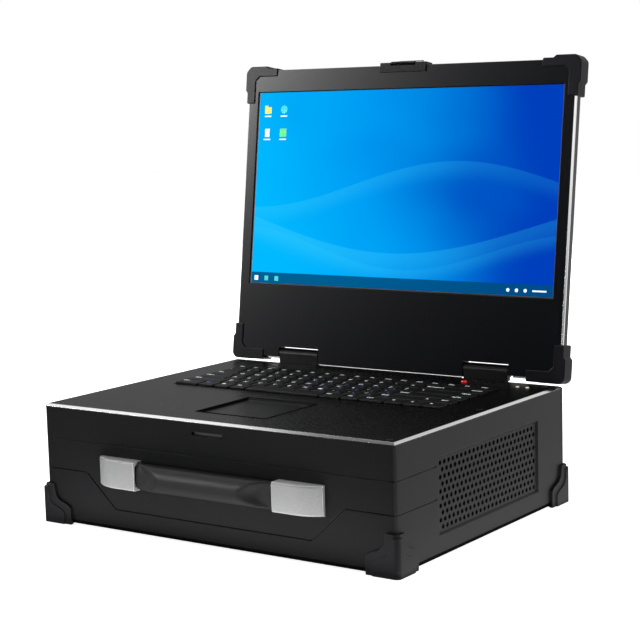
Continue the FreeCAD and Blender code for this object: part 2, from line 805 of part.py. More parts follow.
def make_rear_panel():
    back = base_depth
    front = base_depth - rear_wall
    edge = half_width - corner_size
    panel = block(-edge, edge, front, back, panel_bottom, wall_top)
    cuts = [around_inlet(inlet_half, front, back)]
    cuts += [block(x0, x1, front, back, z0, z1) for x0, x1, z0, z1 in ports]
    cuts += [block(x - expansion_half, x + expansion_half, front, back, expansion_low, expansion_high)
             for x in expansion_xs]
    for row in range(exhaust_rows):
        for column in range(exhaust_rows):
            stagger = 0.25 if row % 2 else -0.25
            x = inlet_x + (column - (exhaust_rows - 1) / 2 + stagger) * exhaust_pitch
            z = exhaust_low + row * exhaust_row_pitch
            cuts.append(rod(exhaust_radius, (x, front, z), (x, back, z)))
    shapes["rear_panel"] = panel.cut(cuts)
    plates = [block(x - expansion_half, x + expansion_half, front, front + expansion_thick,
                    expansion_low, expansion_high) for x in expansion_xs]
    shapes["expansion_covers"] = Part.makeCompound(plates)


def make_sockets():
    back = base_depth
    front = base_depth - rear_wall
    body = around_inlet(inlet_half, back - inlet_depth, back)
    flange = around_inlet(inlet_flange, back, back + inlet_lip)
    well = around_inlet(inlet_well, back - inlet_well_depth, back + inlet_lip)
    blades = [around_inlet(blade_half, back - inlet_well_depth, back - blade_tip, p) for p in blade_places]
    shapes["power_inlet"] = body.fuse(flange).removeSplitter().cut(well).fuse(blades)

    covers = []
    face = back + cover_thick
    for x0, x1, z0, z1 in ports:
        plug = block(x0, x1, front, back, z0, z1)
        flap = block(x0 - cover_lap, x1 + cover_lap, back, face, z0 - cover_lap, z1 + cover_lap)
        flap = rounded(flap, cover_round, lambda e: runs_along(e, (0, 1, 0)) or at_place(e, y=face))
        covers.append(plug.fuse(flap).removeSplitter())
    shapes["port_covers"] = Part.makeCompound(covers)


def make_screws():
    back = base_depth
    tip = back + rear_screw_proud
    screws = [deck_screw(p) for p in deck_screw_places]
    for x, z in rear_screws:
        dome = rod(screw_head, (x, back, z), (x, tip, z))
        dome = rounded(dome, rear_screw_round, lambda e: at_place(e, y=tip))
        screws.append(dome.cut(rod(rear_screw_socket, (x, tip - rear_socket_depth, z), (x, tip, z))))
    shapes["case_screws"] = Part.makeCompound(screws)


# Works inside the case

def make_works():
    floor = pan_bottom + pan_floor
    top = board_height + board_thick
    shapes["motherboard"] = block(*board_span, board_height, top)
    x0, x1, y0, y1 = sink_span
    base = block(x0, x1, y0, y1, top, top + sink_base)
    fins = [block(x0 + fin_pitch * i, x0 + fin_pitch * i + fin_thick, y0, y1, top + sink_base, top + sink_tall)
            for i in range(fin_count)]
    shapes["heat_sink"] = base.fuse(fins).removeSplitter()
    sticks = [block(x, x + module_thick, *module_ys, top, top + module_tall) for x in module_xs]
    shapes["memory_modules"] = Part.makeCompound(sticks)
    shapes["power_supply"] = block(*supply_span, floor, floor + supply_tall)
    shapes["storage_drive"] = block(*drive_span, floor, floor + drive_tall)


def on_fan_axis(radius, x0, x1):
    return rod(radius, (x0, fan_y, fan_z), (x1, fan_y, fan_z))


def fan_housing(x0, x1):
    half = fan_size / 2
    back = x0 + fan_back
    frame = block(x0, x1, fan_y - half, fan_y + half, fan_z - half, fan_z + half)
    ring = frame.cut(on_fan_axis(fan_bore, x0, x1))
    mount = on_fan_axis(fan_hub, x0, back)
    arms = []
    for i in range(3):
        arm = block(x0, back, fan_y - fan_arm, fan_y + fan_arm, fan_z + fan_hub - 1, fan_z + fan_bore + 1)
        arm.rotate(V(x0, fan_y, fan_z), V(1, 0, 0), 120 * i + 60)
        arms.append(arm)
    housing = ring.fuse([mount] + arms).removeSplitter()
    return housing.cut(on_fan_axis(fan_shaft + fan_shaft_play, x0, back))


def fan_rotor(x0, x1):
    start = x0 + fan_back + fan_gap
    end = x1 - fan_front_gap
    hub = on_fan_axis(fan_hub, start, end)
    shaft = on_fan_axis(fan_shaft, x0 + join_lap, start)
    blades = []
    for i in range(fan_blades):
        blade = block(-fan_blade_half, fan_blade_half, -fan_blade_thick, fan_blade_thick,
                      fan_hub - 1.5, fan_tip + 2)
        blade.rotate(V(0, 0, 0), V(0, 0, 1), fan_blade_turn)
        blade.translate(V((start + end) / 2, fan_y, fan_z))
        blade.rotate(V(x0, fan_y, fan_z), V(1, 0, 0), 360 / fan_blades * i)
        blades.append(blade)
    sweep = on_fan_axis(fan_tip, start + join_lap, end - join_lap)
    wheel = Part.makeCompound(blades).common(sweep)
    return hub.fuse(wheel.Solids + [shaft]).removeSplitter()


def make_fans():
    x1 = half_width - panel_wall
    x0 = x1 - fan_thick
    both_sides("fan_housing", fan_housing(x0, x1))
    both_sides("fan_rotor", fan_rotor(x0, x1))


lid_names = ["lid_back_shell", "lid_bezel", "lid_side_trim", "display_panel", "display_board",
             "lid_bumper_top_right", "lid_bumper_top_left", "lid_bumper_foot_right",
             "lid_bumper_foot_left", "hinge_leaf_right", "hinge_leaf_left", "latch_housing", "latch_pin",
             "latch_hook"]

make_walls()
make_corner_posts()
make_bottom_pan()
make_deck()
make_button_and_lamps()
make_keys()
make_handle_caps()
make_grip()
make_feet()
make_back_shell()
make_bezel()
make_display()
make_lid_bumpers()
make_hinges()
make_latch()
make_rear_panel()
make_sockets()
make_screws()
make_works()
make_fans()
for name in lid_names:
    shapes[name] = lid_place(shapes[name])

whole = Part.makeCompound(list(shapes.values())).optimalBoundingBox(False)
shift = V(0, -(whole.YMin + whole.YMax) / 2, 0)
os.makedirs("parts", exist_ok=True)
for name, shape in shapes.items():
    moved = shape.copy()
    moved.translate(shift)
    moved.exportStep("parts/" + name + ".step")
axis_y, axis_z = hinge_axis()
print("nodes", len(shapes), "shift", round(shift.y, 4), "size", whole.XLength, whole.YLength, whole.ZLength)
print("hinge axis", axis_y + shift.y, axis_z, "lowest", whole.ZMin)
for name, shape in shapes.items():
    if not shape.isValid() or shape.Volume <= 0:
        print("not valid", name, shape.Volume)
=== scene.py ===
import bpy
import bmesh
import json
import math
from mathutils import Matrix, Vector


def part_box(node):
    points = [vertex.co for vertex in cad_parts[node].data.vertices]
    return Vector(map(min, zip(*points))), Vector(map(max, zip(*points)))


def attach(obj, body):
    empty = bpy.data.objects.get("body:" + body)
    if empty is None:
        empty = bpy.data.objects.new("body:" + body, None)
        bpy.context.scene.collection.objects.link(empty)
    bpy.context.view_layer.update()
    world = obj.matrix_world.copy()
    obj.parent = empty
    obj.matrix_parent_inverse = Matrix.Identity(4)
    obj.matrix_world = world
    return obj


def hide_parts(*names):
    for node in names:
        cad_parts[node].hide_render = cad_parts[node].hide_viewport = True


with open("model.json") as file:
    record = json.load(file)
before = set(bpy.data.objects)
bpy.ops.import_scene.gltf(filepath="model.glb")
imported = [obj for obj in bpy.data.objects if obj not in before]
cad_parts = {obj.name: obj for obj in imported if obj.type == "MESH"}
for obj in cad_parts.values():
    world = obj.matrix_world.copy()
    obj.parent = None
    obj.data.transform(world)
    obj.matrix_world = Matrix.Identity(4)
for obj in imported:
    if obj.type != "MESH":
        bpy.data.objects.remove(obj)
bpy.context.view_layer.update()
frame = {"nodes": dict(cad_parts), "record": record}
nodes = frame["nodes"]
record = frame["record"]
nodeBody = {name: body for body, names in record["behaviour"]["bodies"].items() for name in names}
scene = bpy.context.scene
mm = 0.001

# the lid leans back from upright; in its own flat frame x runs across, y up the screen and z out of it
lid = {"lean": 7.88, "footY": 131.89 * mm, "deck": 119.0 * mm, "screenHalf": 191.1 * mm,
       "screenLow": 87.0 * mm, "screenHigh": 302.0 * mm, "screenSunk": 1.93 * mm}
lidMatrix = (Matrix.Translation((0, lid["footY"], lid["deck"]))
             @ Matrix.Rotation(math.radians(90 - lid["lean"]), 4, "X"))
print("frame loaded", len(nodes), "nodes")


# shader helpers

def addNode(tree, kind, **settings):
    node = tree.nodes.new(kind)
    for key, value in settings.items():
        setattr(node, key, value)
    return node


def setInputs(node, **values):
    for key, value in values.items():
        node.inputs[key.replace("_", " ")].default_value = value
    return node


# a number, a colour or another node's output into a socket
def feed(tree, socket, value):
    if isinstance(value, (int, float)):
        socket.default_value = value
    elif isinstance(value, tuple):
        socket.default_value = (*value, 1)
    else:
        tree.links.new(value, socket)


def mapRange(tree, source, span, low=0.0, high=1.0):
    node = addNode(tree, "ShaderNodeMapRange", interpolation_type="SMOOTHSTEP")
    for index, value in enumerate((source, *span, low, high)):
        feed(tree, node.inputs[index], value)
    return node.outputs[0]


def mathNode(tree, operation, *values):
    node = addNode(tree, "ShaderNodeMath", operation=operation)
    for index, value in enumerate(values):
        feed(tree, node.inputs[index], value)
    return node.outputs[0]


def product(tree, first, *others):
    for other in others:
        first = mathNode(tree, "MULTIPLY", first, other)
    return first


def shareOf(tree, share, first, second):
    return mathNode(tree, "ADD", product(tree, first, share), product(tree, second, 1 - share))


def between(tree, low, high, share):
    span = mathNode(tree, "SUBTRACT", high, low)
    return mathNode(tree, "ADD", low, product(tree, span, share))


def mixColour(tree, share, first, second, blend="MIX"):
    node = addNode(tree, "ShaderNodeMix", data_type="RGBA", blend_type=blend)
    for index, value in ((0, share), (6, first), (7, second)):  # the share and the two colours
        feed(tree, node.inputs[index], value)
    return node.outputs[2]


def objectPlace(tree):
    return addNode(tree, "ShaderNodeTexCoord").outputs["Object"]


def noise(tree, vector, scale, detail=2.0, rough=0.5):
    node = addNode(tree, "ShaderNodeTexNoise")
    setInputs(node, Detail=detail, Roughness=rough)
    tree.links.new(vector, node.inputs["Vector"])
    feed(tree, node.inputs["Scale"], scale)
    return node.outputs["Fac"]


def startGroup(name, inputs, outputs):
    tree = bpy.data.node_groups.new(name, "ShaderNodeTree")
    for direction, sockets in (("INPUT", inputs), ("OUTPUT", outputs)):
        for label, kind in sockets.items():
            tree.interface.new_socket(label, in_out=direction, socket_type="NodeSocket" + kind)
    return tree, addNode(tree, "NodeGroupInput"), addNode(tree, "NodeGroupOutput")


# fine texture of powder coat, moulded plastic and rubber, with slow cloudy variation
grainTexture = {"fineDetail": 3.0, "fineRough": 0.65, "coarse": 0.28, "cloud": 4.0, "cloudRough": 0.4,
                "speck": (0.35, 0.7), "speckShare": 0.55, "cloudShare": 0.6, "fineShare": 0.6}


def makeGrainGroup():
    tree, given, out = startGroup(
        "fineGrain",
        {"Scale": "Float", "Dark": "Color", "Light": "Color", "Smooth": "Float", "Rough": "Float"},
        {"Color": "Color", "Roughness": "Float", "Height": "Float"})
    place = objectPlace(tree)
    scale = given.outputs["Scale"]
    fine = noise(tree, place, scale, grainTexture["fineDetail"], grainTexture["fineRough"])
    coarse = noise(tree, place, product(tree, scale, grainTexture["coarse"]))
    cloud = noise(tree, place, grainTexture["cloud"], rough=grainTexture["cloudRough"])
    speck = mapRange(tree, fine, grainTexture["speck"])
    tone = shareOf(tree, grainTexture["speckShare"], speck, cloud)
    rub = shareOf(tree, grainTexture["cloudShare"], cloud, coarse)
    height = shareOf(tree, grainTexture["fineShare"], fine, coarse)
    colour = mixColour(tree, tone, given.outputs["Dark"], given.outputs["Light"])
    rough = between(tree, given.outputs["Smooth"], given.outputs["Rough"], rub)
    tree.links.new(colour, out.inputs["Color"])
    tree.links.new(rough, out.inputs["Roughness"])
    tree.links.new(height, out.inputs["Height"])
    return tree


# paint thinned along eased edges, with a painted highlight along them, on the faces that carry the edge
# attribute
edgeWearAndSheen = {"patches": 60.0, "detail": 4.0, "rough": 0.7, "span": (0.42, 0.66), "least": 0.15}


def makeWearAndSheenGroup():
    tree, given, out = startGroup("edgeRubAndSheen", {"Color": "Color", "Bare": "Color", "Amount": "Float"},
                                  {"Color": "Color"})
    edge = addNode(tree, "ShaderNodeAttribute", attribute_name="edge").outputs["Fac"]
    cloud = noise(tree, objectPlace(tree), edgeWearAndSheen["patches"], edgeWearAndSheen["detail"], edgeWearAndSheen["rough"])
    patch = mapRange(tree, cloud, edgeWearAndSheen["span"], edgeWearAndSheen["least"])
    mask = product(tree, edge, patch, given.outputs["Amount"])
    colour = mixColour(tree, mask, given.outputs["Color"], given.outputs["Bare"])
    tree.links.new(colour, out.inputs["Color"])
    return tree


# long fine lines of drawn or brushed metal
brushLines = {"detail": 3.0, "rough": 0.6, "span": (0.2, 0.8)}


def makeBrushGroup():
    tree, given, out = startGroup(
        "brushedLines",
        {"Stretch": "Vector", "Dark": "Color", "Light": "Color", "Smooth": "Float", "Rough": "Float"},
        {"Color": "Color", "Height": "Float", "Roughness": "Float"})
    spread = addNode(tree, "ShaderNodeVectorMath", operation="MULTIPLY")
    tree.links.new(objectPlace(tree), spread.inputs[0])
    tree.links.new(given.outputs["Stretch"], spread.inputs[1])
    lines = noise(tree, spread.outputs[0], 1.0, brushLines["detail"], brushLines["rough"])
    colour = mixColour(tree, lines, given.outputs["Dark"], given.outputs["Light"])
    rub = mapRange(tree, lines, brushLines["span"])
    rough = between(tree, given.outputs["Smooth"], given.outputs["Rough"], rub)
    tree.links.new(colour, out.inputs["Color"])
    tree.links.new(lines, out.inputs["Height"])
    tree.links.new(rough, out.inputs["Roughness"])
    return tree


grainGroup = makeGrainGroup()
wearAndSheenGroup = makeWearAndSheenGroup()
brushGroup = makeBrushGroup()


# finishes

def startMaterial(name):
    material = bpy.data.materials.new(name)
    material.use_nodes = True
    tree = material.node_tree
    return material, tree, tree.nodes["Principled BSDF"]


def placeGroup(tree, group, **values):
    node = addNode(tree, "ShaderNodeGroup", node_tree=group)
    return setInputs(node, **values)


def bumpFrom(tree, height, shader, strength, distance):
    bump = addNode(tree, "ShaderNodeBump")
    setInputs(bump, Strength=strength, Distance=distance)
    tree.links.new(height, bump.inputs["Height"])
    tree.links.new(bump.outputs["Normal"], shader.inputs["Normal"])


def grey(value, blue=0.0):
    return (value, value, value * (1 + blue))


bumpDepth = {"coat": 0.2 * mm, "metal": 0.1 * mm}


# a grained finish: paint, rubber and moulded plastic differ in their values
def grainedMaterial(name, dark, light, smooth, rough, scale, bump=0.25, specular=0.5, metallic=0.0, wearAndSheen=0.0,
                    bare=0.12):
    material, tree, shader = startMaterial(name)
    grain = placeGroup(tree, grainGroup, Scale=scale, Dark=(*dark, 1), Light=(*light, 1), Smooth=smooth,
                       Rough=rough)
    colour = grain.outputs["Color"]
    # eased edges turn towards the bare colour: partly wear, partly a painted highlight
    if wearAndSheen > 0:
        rub = placeGroup(tree, wearAndSheenGroup, Bare=(*grey(bare), 1), Amount=wearAndSheen)
        tree.links.new(colour, rub.inputs["Color"])
        colour = rub.outputs["Color"]
    tree.links.new(colour, shader.inputs["Base Color"])
    tree.links.new(grain.outputs["Roughness"], shader.inputs["Roughness"])
    setInputs(shader, Specular_IOR_Level=specular, Metallic=metallic)
    bumpFrom(tree, grain.outputs["Height"], shader, bump, bumpDepth["coat"])
    return material


def metalMaterial(name, dark, light, stretch, bump=0.06, smooth=0.22, rough=0.38):
    material, tree, shader = startMaterial(name)
    lines = placeGroup(tree, brushGroup, Stretch=stretch, Dark=(*dark, 1), Light=(*light, 1), Smooth=smooth,
                       Rough=rough)
    tree.links.new(lines.outputs["Color"], shader.inputs["Base Color"])
    tree.links.new(lines.outputs["Roughness"], shader.inputs["Roughness"])
    setInputs(shader, Metallic=1.0)
    bumpFrom(tree, lines.outputs["Height"], shader, bump, bumpDepth["metal"])
    return material


coats = {
    "caseCoat": dict(dark=grey(0.0035), light=grey(0.011, 0.06), smooth=0.36, rough=0.46, scale=1500,
                     bump=0.22, specular=0.2, wearAndSheen=0.3, bare=0.05),
    "deckCoat": dict(dark=grey(0.0027), light=grey(0.0043), smooth=0.24, rough=0.3, scale=2000,
                     bump=0.014, specular=0.16, wearAndSheen=0.8, bare=0.05),
    "lidCoat": dict(dark=grey(0.0015), light=grey(0.006, 0.35), smooth=0.13, rough=0.17, scale=1500,
                    bump=0.05, specular=0.4, wearAndSheen=0.3, bare=0.06),
    "cornerRubber": dict(dark=grey(0.0045), light=grey(0.0085, 0.16), smooth=0.46, rough=0.6, scale=1200,
                         bump=0.35, specular=0.3, wearAndSheen=0.3, bare=0.04),
    "bumperRubber": dict(dark=grey(0.005), light=grey(0.013, 0.35), smooth=0.2, rough=0.28, scale=1200,
                         bump=0.06, specular=0.21, wearAndSheen=0.3, bare=0.05),
    "bumperSide": dict(dark=grey(0.004), light=grey(0.009, 0.3), smooth=0.3, rough=0.4, scale=1200,
                       bump=0.06, specular=0.1, wearAndSheen=0.3, bare=0.05),
    # painted highlights along the display window's edge
    "gasketPale": dict(dark=grey(0.3), light=grey(0.42), smooth=0.4, rough=0.5, scale=900),
    "gasketDim": dict(dark=(0.05, 0.045, 0.042), light=(0.08, 0.072, 0.068), smooth=0.4, rough=0.5,
                      scale=900),
    "gripRubber": dict(dark=grey(0.008), light=grey(0.013), smooth=0.42, rough=0.52, scale=900, bump=0.12),
    "keyPlastic": dict(dark=grey(0.004), light=grey(0.008, 0.2), smooth=0.42, rough=0.54, scale=2600,
                       bump=0.2, specular=0.16, wearAndSheen=0.6, bare=0.02),
    "padPlastic": dict(dark=grey(0.004), light=grey(0.007), smooth=0.26, rough=0.34, scale=3200,
                       bump=0.15, specular=0.2),
    "hingeBlack": dict(dark=grey(0.006), light=grey(0.011), smooth=0.28, rough=0.4, scale=1500,
                       bump=0.15, specular=0.25, wearAndSheen=0.4, bare=0.06),
    "postCoat": dict(dark=grey(0.009), light=grey(0.022), smooth=0.36, rough=0.46, scale=1500,
                     bump=0.22, specular=0.3, wearAndSheen=0.3, bare=0.06),
    "latchBlack": dict(dark=grey(0.003), light=grey(0.008), smooth=0.24, rough=0.32, scale=1800,
                       bump=0.08, specular=0.17, wearAndSheen=0.5, bare=0.09),
    "innerBlack": dict(dark=grey(0.006), light=grey(0.012), smooth=0.5, rough=0.7, scale=1500),
    # near black standing in for shade in grooves, under the case and round the touchpad
    "gapBlack": dict(dark=grey(0.002), light=grey(0.004), smooth=0.6, rough=0.8, scale=1500,
                     bump=0.2, specular=0.02),
    # a lighter grey, painted light inside the latch slot
    "keeperGrey": dict(dark=grey(0.09), light=grey(0.14), smooth=0.5, rough=0.65, scale=1500),
    "boardGreen": dict(dark=(0.01, 0.06, 0.025), light=(0.02, 0.11, 0.05), smooth=0.3, rough=0.45,
                       scale=700),
    "moduleGrey": dict(dark=grey(0.18), light=grey(0.26), smooth=0.35, rough=0.5, scale=900),
    # the caps' eased edges turn near white in patches, a painted highlight on the rim
    "capSatin": dict(dark=grey(0.195), light=grey(0.365), smooth=0.34, rough=0.5, scale=1600,
                     bump=0.15, metallic=0.35, wearAndSheen=0.9, bare=0.9),
    "capPolish": dict(dark=grey(0.72), light=grey(0.9), smooth=0.34, rough=0.5, scale=1600,
                      bump=0.15, wearAndSheen=0.9, bare=0.9),
}
# stretch is the lines' rate along x, y and z
metals = {
    "trimSilver": dict(dark=grey(0.8), light=grey(0.95), stretch=(60.0, 60.0, 3000.0), bump=0.003,
                       smooth=0.09, rough=0.13),
    "trimDim": dict(dark=grey(0.38), light=grey(0.46), stretch=(60.0, 60.0, 3000.0), bump=0.003,
                    smooth=0.09, rough=0.13),
    "railSilver": dict(dark=grey(0.85), light=grey(0.98), stretch=(2500.0, 2500.0, 30.0), bump=0.01,
                       smooth=0.1, rough=0.16),
    "bareSteel": dict(dark=grey(0.4), light=grey(0.6), stretch=(3000.0, 60.0, 3000.0)),
    "screwBlack": dict(dark=grey(0.12), light=grey(0.24), stretch=(2500.0, 2500.0, 2500.0)),
    "finAluminium": dict(dark=grey(0.55), light=grey(0.75), stretch=(3000.0, 50.0, 3000.0)),
}


# a colour a little darker in patches
def patchy(tree, colour, patches, least):
    cloud = noise(tree, objectPlace(tree), patches)
    return mixColour(tree, cloud, tuple(part * least for part in colour), colour)


lens = {"spots": 900.0, "least": 0.75, "rough": 0.2, "coat": 0.6}
lenses = {"redLens": dict(colour=(0.75, 0.012, 0.008), glow=0.55),
          "lampLens": dict(colour=(0.85, 0.74, 0.58), glow=0.5)}


def lensMaterial(name, colour, glow):
    material, tree, shader = startMaterial(name)
    tint = patchy(tree, colour, lens["spots"], lens["least"])
    tree.links.new(tint, shader.inputs["Base Color"])
    tree.links.new(tint, shader.inputs["Emission Color"])
    setInputs(shader, Roughness=lens["rough"], Emission_Strength=glow, Coat_Weight=lens["coat"])
    return material


# slightly uneven ink of the legends, which also glow a little as painted light, and the lit signs on the
# display
ink = {"patches": 1500.0, "least": 0.82, "rough": 0.6}
inks = {"legendWhite": dict(colour=(0.8, 0.86, 0.88), glow=0.6),
        "legendBlue": dict(colour=(0.08, 0.26, 0.75), glow=0.4),
        "signYellow": dict(colour=(0.9, 0.62, 0.12), glow=0.9),
        "signGreen": dict(colour=(0.12, 0.68, 0.2), glow=0.9),
        "signPale": dict(colour=(0.8, 0.9, 1.0), glow=0.9),
        "signTeal": dict(colour=(0.05, 0.55, 0.6), glow=0.9)}


def inkMaterial(name, colour, glow):
    material, tree, shader = startMaterial(name)
    tint = patchy(tree, colour, ink["patches"], ink["least"])
    tree.links.new(tint, shader.inputs["Base Color"])
    tree.links.new(tint, shader.inputs["Emission Color"])
    setInputs(shader, Roughness=ink["rough"], Emission_Strength=glow)
    return material


# display picture: blue fade with broad soft ribbons and a dark strip along the foot
picture = {"left": (0.0, 0.49, 1.0), "middle": (0.0, 0.33, 0.9), "right": (0.0, 0.05, 0.5),
           "ribbon": (0.03, 0.6, 1.0), "strip": (0.0, 0.075, 0.21), "stripEdge": (0.06, 0.062),
           "stripShare": 0.9, "swell": 1.6, "swellRough": 0.4, "swellReach": 0.5, "slant": 0.12,
           "leftFade": (0.0, 0.55), "rightFade": (0.38, 1.0), "crest": (0.0, 0.006), "phase": 9,
           "ribbonSpan": (0.0, 1.0), "ribbonEnd": 0.35, "rough": 0.35}
ribbons = [dict(middle=0.34, swing=0.16, rate=3.4, width=0.17, weight=0.4),
           dict(middle=0.52, swing=0.12, rate=4.6, width=0.11, weight=0.28),
           dict(middle=0.2, swing=0.1, rate=5.6, width=0.08, weight=0.22)]


def pictureMaterial():
    material, tree, shader = startMaterial("displayPicture")
    uv = addNode(tree, "ShaderNodeUVMap", uv_map="screen").outputs["UV"]
    apart = addNode(tree, "ShaderNodeSeparateXYZ")
    tree.links.new(uv, apart.inputs[0])
    across = apart.outputs[0]
    up = apart.outputs[1]
    swell = mathNode(tree, "SUBTRACT", noise(tree, uv, picture["swell"], rough=picture["swellRough"]), 0.5)
    drift = mathNode(tree, "ADD", across, product(tree, swell, picture["swellReach"]))
    drift = mathNode(tree, "ADD", drift, product(tree, up, picture["slant"]))
    colour = mixColour(tree, mapRange(tree, drift, picture["leftFade"]), picture["left"], picture["middle"])
    colour = mixColour(tree, mapRange(tree, drift, picture["rightFade"]), colour, picture["right"])
    fade = mapRange(tree, across, picture["ribbonSpan"], 1.0, picture["ribbonEnd"])
    for ribbon in ribbons:
        start = ribbon["middle"] * picture["phase"]
        turn = mathNode(tree, "ADD", product(tree, across, ribbon["rate"]), start)
        wave = product(tree, mathNode(tree, "SINE", turn), ribbon["swing"])
        off = mathNode(tree, "SUBTRACT", up, mathNode(tree, "ADD", ribbon["middle"], wave))
        below = mapRange(tree, off, (-ribbon["width"], 0.0))
        crest = mapRange(tree, off, picture["crest"], 1.0, 0.0)
        band = product(tree, below, crest, fade, ribbon["weight"])
        colour = mixColour(tree, band, colour, picture["ribbon"])
    foot = mapRange(tree, up, picture["stripEdge"], picture["stripShare"], 0.0)
    colour = mixColour(tree, foot, colour, picture["strip"])
    tree.links.new(colour, shader.inputs["Emission Color"])
    setInputs(shader, Base_Color=(0, 0, 0, 1), Roughness=picture["rough"], Emission_Strength=1.0,
              Specular_IOR_Level=0.0)
    return material


finishes = {"displayPicture": pictureMaterial()}
for table, makeFinish in ((coats, grainedMaterial), (metals, metalMaterial), (lenses, lensMaterial),
                          (inks, inkMaterial)):
    for name, values in table.items():
        finishes[name] = makeFinish(name, **values)
print("materials ready", len(finishes))


# mesh helpers

def addPiece(name, bm, finishNames, body, smoothAngle=35):
    mesh = bpy.data.meshes.new(name)
    bm.to_mesh(mesh)
    bm.free()
    for polygon in mesh.polygons:
        polygon.use_smooth = True
    mesh.set_sharp_from_angle(angle=math.radians(smoothAngle))
    piece = bpy.data.objects.new(name, mesh)
    scene.collection.objects.link(piece)
    for finish in finishNames:
        mesh.materials.append(finishes[finish])
    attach(piece, body)
    return piece


# a box between two corners, in millimetres
def addBox(bm, low, high):
    low = Vector([value * mm for value in low])
    high = Vector([value * mm for value in high])
    made = bmesh.ops.create_cube(bm, size=1.0)["verts"]
    bmesh.ops.scale(bm, vec=high - low, verts=made)
    bmesh.ops.translate(bm, vec=(low + high) / 2, verts=made)


def paintFaces(verts, slotIndex):
    for face in {face for vert in verts for face in vert.link_faces}:
        face.material_index = slotIndex


discCorners = 24


# flat shapes in the plane of x and y, in millimetres
def flatBox(bm, left, low, right, high, slotIndex):
    made = bmesh.ops.create_grid(bm, x_segments=1, y_segments=1, size=0.5)["verts"]
    bmesh.ops.scale(bm, vec=((right - left) * mm, (high - low) * mm, 1), verts=made)
    bmesh.ops.translate(bm, vec=((left + right) / 2 * mm, (low + high) / 2 * mm, 0), verts=made)
    paintFaces(made, slotIndex)


def flatDisc(bm, x, y, radius, slotIndex):
    made = bmesh.ops.create_circle(bm, cap_ends=True, segments=discCorners, radius=radius * mm)["verts"]
    bmesh.ops.translate(bm, vec=(x * mm, y * mm, 0), verts=made)
    paintFaces(made, slotIndex)


# another finish on the faces that are chosen
def nextFinish(piece, finish, chosen):
    piece.data.materials.append(finishes[finish])
    added = len(piece.data.materials) - 1
    for polygon in piece.data.polygons:
        if chosen(polygon):
            polygon.material_index = added


# a copy of a solid with its hard edges eased, as a cast, bent or moulded edge is; angles in degrees
ease = {"weld": 0.004 * mm, "flat": 0.8, "hard": 25, "steps": 2, "round": 0.5, "weight": 100}


def easedCopy(nodeName, width, finish):
    bm = bmesh.new()
    bm.from_mesh(nodes[nodeName].data)
    edgeLayer = bm.faces.layers.float.new("edge")
    bmesh.ops.remove_doubles(bm, verts=bm.verts, dist=ease["weld"])
    bmesh.ops.dissolve_limit(bm, angle_limit=math.radians(ease["flat"]), verts=bm.verts, edges=bm.edges)
    least = math.radians(ease["hard"])
    hard = [edge for edge in bm.edges if len(edge.link_faces) == 2 and edge.calc_face_angle(0) > least]
    made = bmesh.ops.bevel(bm, geom=hard, offset=width, offset_type="OFFSET", affect="EDGES",
                           segments=ease["steps"], profile=ease["round"], material=-1, clamp_overlap=True)
    for face in made["faces"]:
        face[edgeLayer] = 1.0
    bmesh.ops.recalc_face_normals(bm, faces=bm.faces)
    pieceName = nodeName.replace("_", ".") + ".eased"
    piece = addPiece(pieceName, bm, [finish], nodeBody[nodeName])
    even = piece.modifiers.new("evenShade", "WEIGHTED_NORMAL")
    even.mode = "FACE_AREA"
    even.weight = ease["weight"]
    even.keep_sharp = True
    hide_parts(nodeName)
    return piece


# width of the eased edge in millimetres, and finish
easing = {
    "front_panel": (0.35, "caseCoat"), "side_panel_right": (0.35, "caseCoat"),
    # the bottom pan is near black, painted shade under the case
    "side_panel_left": (0.35, "caseCoat"), "rear_panel": (0.3, "caseCoat"), "bottom_pan": (0.4, "gapBlack"),
    "deck_plate": (0.25, "deckCoat"), "touchpad": (0.3, "padPlastic"),
    "hinge_block_right": (0.5, "hingeBlack"), "hinge_block_left": (0.5, "hingeBlack"),
    "latch_housing": (0.4, "latchBlack"), "latch_hook": (0.4, "latchBlack"), "lid_bezel": (0.2, "lidCoat"),
    "handle_cap_right": (1.4, "capSatin"), "handle_cap_left": (1.4, "capSatin"),
    "foot_front_right": (0.9, "cornerRubber"), "foot_front_left": (0.9, "cornerRubber"),
    "foot_rear_right": (0.9, "cornerRubber"), "foot_rear_left": (0.9, "cornerRubber"),
    "lid_bumper_top_right": (0.6, "bumperRubber"), "lid_bumper_top_left": (0.6, "bumperRubber"),
    "lid_bumper_foot_right": (0.6, "bumperRubber"), "lid_bumper_foot_left": (0.6, "bumperRubber"),
    "power_inlet": (0.3, "innerBlack"), "space_bar": (0.45, "keyPlastic"), "deck_trim": (0.05, "trimSilver"),
    "lid_side_trim": (0.3, "railSilver"), "corner_posts": (0.3, "caseCoat"),
    "key_row_bottom": (0.45, "keyPlastic"), "key_row_shift": (0.45, "keyPlastic"),
    "key_row_home": (0.45, "keyPlastic"), "key_row_letters": (0.45, "keyPlastic"),
    "key_row_numbers": (0.45, "keyPlastic"), "key_row_function": (0.45, "keyPlastic"),
}
eased = {}
for nodeName, (width, finish) in easing.items():
    eased[nodeName] = easedCopy(nodeName, width * mm, finish)

# faces with a second finish are chosen by how far they turn to an axis
turned = {"trimShadowSide": 0.2, "trimTop": 0.95, "capLitTop": 0.5, "bumperSide": 0.6, "postSlant": 0.3}
# the deck trim's upright faces take the case paint, a painted shadow line under its bright edge, and its top
# faces a dimmer silver, painted shade
nextFinish(eased["deck_trim"], "caseCoat", lambda polygon: abs(polygon.normal.z) < turned["trimShadowSide"])
nextFinish(eased["deck_trim"], "trimDim", lambda polygon: polygon.normal.z > turned["trimTop"])
